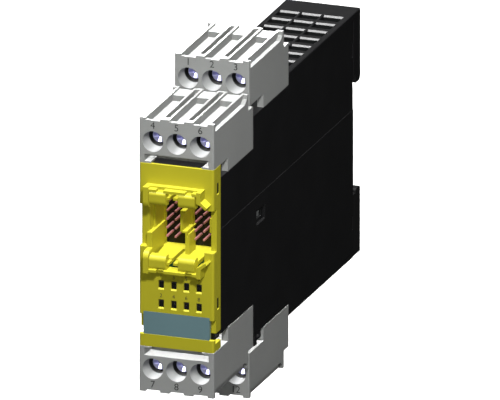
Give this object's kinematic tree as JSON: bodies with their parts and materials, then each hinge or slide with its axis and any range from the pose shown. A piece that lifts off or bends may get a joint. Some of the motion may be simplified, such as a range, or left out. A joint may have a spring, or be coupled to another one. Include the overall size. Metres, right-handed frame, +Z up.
{
  "type": "safety expansion module",
  "caption": "Slim rail-mounted expansion module with plug-in screw terminal blocks, a front system connector with spring tongues, indicator windows and a label plate.",
  "frame": {"origin": "middle of the flat rear face that stands against the mounting rail", "axes": "+X across the module to the right as seen from the front, +Y back towards the rail, +Z up towards the rail hook"},
  "size_m": [0.0226, 0.1278, 0.101],
  "materials": {
    "black_plastic": "satin",
    "grey_plastic": "satin",
    "yellow_plastic": "satin",
    "teal_plastic": "satin",
    "clear_plastic": "glossy",
    "latch_plastic": "satin",
    "header_plastic": "satin",
    "board_green": "satin",
    "chip_black": "matte",
    "coupler_white": "matte",
    "led_white": "glossy",
    "choke_grey": "matte",
    "capacitor_sleeve": "satin",
    "screw_steel": "plated",
    "cage_steel": "plated",
    "spring_steel": "bright",
    "contact_brass": "tinned",
    "pin_gold": "gold flashed"
  },
  "bodies": {
    "module": {"board_links": "header_plastic", "capacitors": "capacitor_sleeve", "connector_board": "board_green", "contacts_lower_rear": "contact_brass", "contacts_upper_rear": "contact_brass", "front_cover": "yellow_plastic", "housing": "black_plastic", "label_plate": "teal_plastic", "latch_spring": "spring_steel", "light_guide": "clear_plastic", "logic_board": "board_green", "optocouplers": "coupler_white", "output_switches": "chip_black", "plug_header_lower_front": "header_plastic", "plug_header_lower_rear": "header_plastic", "plug_header_upper_front": "header_plastic", "plug_header_upper_rear": "header_plastic", "plug_pins": "contact_brass", "power_board": "board_green", "power_choke": "choke_grey", "processors": "chip_black", "status_leds": "led_white", "system_header_left": "header_plastic", "system_header_right": "header_plastic", "system_pins": "pin_gold", "terminal_block_lower_rear": "grey_plastic", "terminal_block_upper_rear": "grey_plastic"},
    "rail_latch": {"rail_latch": "latch_plastic"},
    "upper_front_block": {"terminal_block_upper_front": "grey_plastic", "contacts_upper_front": "contact_brass"},
    "lower_front_block": {"terminal_block_lower_front": "grey_plastic", "contacts_lower_front": "contact_brass"},
    "screw_upper_front_1": {"screw_upper_front_1": "screw_steel"},
    "cage_upper_front_1": {"cage_upper_front_1": "cage_steel"},
    "screw_upper_front_2": {"screw_upper_front_2": "screw_steel"},
    "cage_upper_front_2": {"cage_upper_front_2": "cage_steel"},
    "screw_upper_front_3": {"screw_upper_front_3": "screw_steel"},
    "cage_upper_front_3": {"cage_upper_front_3": "cage_steel"},
    "screw_upper_rear_1": {"screw_upper_rear_1": "screw_steel"},
    "cage_upper_rear_1": {"cage_upper_rear_1": "cage_steel"},
    "screw_upper_rear_2": {"screw_upper_rear_2": "screw_steel"},
    "cage_upper_rear_2": {"cage_upper_rear_2": "cage_steel"},
    "screw_upper_rear_3": {"screw_upper_rear_3": "screw_steel"},
    "cage_upper_rear_3": {"cage_upper_rear_3": "cage_steel"},
    "screw_lower_front_1": {"screw_lower_front_1": "screw_steel"},
    "cage_lower_front_1": {"cage_lower_front_1": "cage_steel"},
    "screw_lower_front_2": {"screw_lower_front_2": "screw_steel"},
    "cage_lower_front_2": {"cage_lower_front_2": "cage_steel"},
    "screw_lower_front_3": {"screw_lower_front_3": "screw_steel"},
    "cage_lower_front_3": {"cage_lower_front_3": "cage_steel"},
    "screw_lower_rear_1": {"screw_lower_rear_1": "screw_steel"},
    "cage_lower_rear_1": {"cage_lower_rear_1": "cage_steel"},
    "screw_lower_rear_2": {"screw_lower_rear_2": "screw_steel"},
    "cage_lower_rear_2": {"cage_lower_rear_2": "cage_steel"},
    "screw_lower_rear_3": {"screw_lower_rear_3": "screw_steel"},
    "cage_lower_rear_3": {"cage_lower_rear_3": "cage_steel"}
  },
  "joints": [
    {"name": "rail_latch_slide", "type": "slide", "parent": "module", "child": "rail_latch", "axis": [0, 0, -1], "range_m": [0, 0.003], "stiffness_N_per_m": 1200, "springref_m": -0.002, "deforming": ["latch_spring"]},
    {"name": "upper_front_block_slide", "type": "slide", "parent": "module", "child": "upper_front_block", "axis": [0, -1, 0], "range_m": [0, 0.006]},
    {"name": "screw_upper_front_1_turn", "type": "hinge", "parent": "upper_front_block", "child": "screw_upper_front_1", "pos_m": [-0.00715, -0.111, 0.03405], "axis": [0, 1, 0], "range_deg": [0, 1728]},
    {"name": "cage_upper_front_1_travel", "type": "slide", "parent": "upper_front_block", "child": "cage_upper_front_1", "axis": [0, -1, 0], "range_m": [0, 0.0024]},
    {"name": "screw_upper_front_2_turn", "type": "hinge", "parent": "upper_front_block", "child": "screw_upper_front_2", "pos_m": [0, -0.111, 0.03405], "axis": [0, 1, 0], "range_deg": [0, 1728]},
    {"name": "cage_upper_front_2_travel", "type": "slide", "parent": "upper_front_block", "child": "cage_upper_front_2", "axis": [0, -1, 0], "range_m": [0, 0.0024]},
    {"name": "screw_upper_front_3_turn", "type": "hinge", "parent": "upper_front_block", "child": "screw_upper_front_3", "pos_m": [0.00715, -0.111, 0.03405], "axis": [0, 1, 0], "range_deg": [0, 1728]},
    {"name": "cage_upper_front_3_travel", "type": "slide", "parent": "upper_front_block", "child": "cage_upper_front_3", "axis": [0, -1, 0], "range_m": [0, 0.0024]},
    {"name": "screw_upper_rear_1_turn", "type": "hinge", "parent": "module", "child": "screw_upper_rear_1", "pos_m": [-0.00715, -0.081, 0.04355], "axis": [0, 1, 0], "range_deg": [0, 1728]},
    {"name": "cage_upper_rear_1_travel", "type": "slide", "parent": "module", "child": "cage_upper_rear_1", "axis": [0, -1, 0], "range_m": [0, 0.0024]},
    {"name": "screw_upper_rear_2_turn", "type": "hinge", "parent": "module", "child": "screw_upper_rear_2", "pos_m": [0, -0.081, 0.04355], "axis": [0, 1, 0], "range_deg": [0, 1728]},
    {"name": "cage_upper_rear_2_travel", "type": "slide", "parent": "module", "child": "cage_upper_rear_2", "axis": [0, -1, 0], "range_m": [0, 0.0024]},
    {"name": "screw_upper_rear_3_turn", "type": "hinge", "parent": "module", "child": "screw_upper_rear_3", "pos_m": [0.00715, -0.081, 0.04355], "axis": [0, 1, 0], "range_deg": [0, 1728]},
    {"name": "cage_upper_rear_3_travel", "type": "slide", "parent": "module", "child": "cage_upper_rear_3", "axis": [0, -1, 0], "range_m": [0, 0.0024]},
    {"name": "lower_front_block_slide", "type": "slide", "parent": "module", "child": "lower_front_block", "axis": [0, -1, 0], "range_m": [0, 0.006]},
    {"name": "screw_lower_front_1_turn", "type": "hinge", "parent": "lower_front_block", "child": "screw_lower_front_1", "pos_m": [-0.00715, -0.111, -0.03405], "axis": [0, 1, 0], "range_deg": [0, 1728]},
    {"name": "cage_lower_front_1_travel", "type": "slide", "parent": "lower_front_block", "child": "cage_lower_front_1", "axis": [0, -1, 0], "range_m": [0, 0.0024]},
    {"name": "screw_lower_front_2_turn", "type": "hinge", "parent": "lower_front_block", "child": "screw_lower_front_2", "pos_m": [0, -0.111, -0.03405], "axis": [0, 1, 0], "range_deg": [0, 1728]},
    {"name": "cage_lower_front_2_travel", "type": "slide", "parent": "lower_front_block", "child": "cage_lower_front_2", "axis": [0, -1, 0], "range_m": [0, 0.0024]},
    {"name": "screw_lower_front_3_turn", "type": "hinge", "parent": "lower_front_block", "child": "screw_lower_front_3", "pos_m": [0.00715, -0.111, -0.03405], "axis": [0, 1, 0], "range_deg": [0, 1728]},
    {"name": "cage_lower_front_3_travel", "type": "slide", "parent": "lower_front_block", "child": "cage_lower_front_3", "axis": [0, -1, 0], "range_m": [0, 0.0024]},
    {"name": "screw_lower_rear_1_turn", "type": "hinge", "parent": "module", "child": "screw_lower_rear_1", "pos_m": [-0.00715, -0.081, -0.04355], "axis": [0, 1, 0], "range_deg": [0, 1728]},
    {"name": "cage_lower_rear_1_travel", "type": "slide", "parent": "module", "child": "cage_lower_rear_1", "axis": [0, -1, 0], "range_m": [0, 0.0024]},
    {"name": "screw_lower_rear_2_turn", "type": "hinge", "parent": "module", "child": "screw_lower_rear_2", "pos_m": [0, -0.081, -0.04355], "axis": [0, 1, 0], "range_deg": [0, 1728]},
    {"name": "cage_lower_rear_2_travel", "type": "slide", "parent": "module", "child": "cage_lower_rear_2", "axis": [0, -1, 0], "range_m": [0, 0.0024]},
    {"name": "screw_lower_rear_3_turn", "type": "hinge", "parent": "module", "child": "screw_lower_rear_3", "pos_m": [0.00715, -0.081, -0.04355], "axis": [0, 1, 0], "range_deg": [0, 1728]},
    {"name": "cage_lower_rear_3_travel", "type": "slide", "parent": "module", "child": "cage_lower_rear_3", "axis": [0, -1, 0], "range_m": [0, 0.0024]}
  ],
  "couplings": [
    {"joint": "screw_upper_front_1_turn", "follows": "cage_upper_front_1_travel", "rad_per_m": 12566},
    {"joint": "screw_upper_front_2_turn", "follows": "cage_upper_front_2_travel", "rad_per_m": 12566},
    {"joint": "screw_upper_front_3_turn", "follows": "cage_upper_front_3_travel", "rad_per_m": 12566},
    {"joint": "screw_upper_rear_1_turn", "follows": "cage_upper_rear_1_travel", "rad_per_m": 12566},
    {"joint": "screw_upper_rear_2_turn", "follows": "cage_upper_rear_2_travel", "rad_per_m": 12566},
    {"joint": "screw_upper_rear_3_turn", "follows": "cage_upper_rear_3_travel", "rad_per_m": 12566},
    {"joint": "screw_lower_front_1_turn", "follows": "cage_lower_front_1_travel", "rad_per_m": 12566},
    {"joint": "screw_lower_front_2_turn", "follows": "cage_lower_front_2_travel", "rad_per_m": 12566},
    {"joint": "screw_lower_front_3_turn", "follows": "cage_lower_front_3_travel", "rad_per_m": 12566},
    {"joint": "screw_lower_rear_1_turn", "follows": "cage_lower_rear_1_travel", "rad_per_m": 12566},
    {"joint": "screw_lower_rear_2_turn", "follows": "cage_lower_rear_2_travel", "rad_per_m": 12566},
    {"joint": "screw_lower_rear_3_turn", "follows": "cage_lower_rear_3_travel", "rad_per_m": 12566}
  ]
}
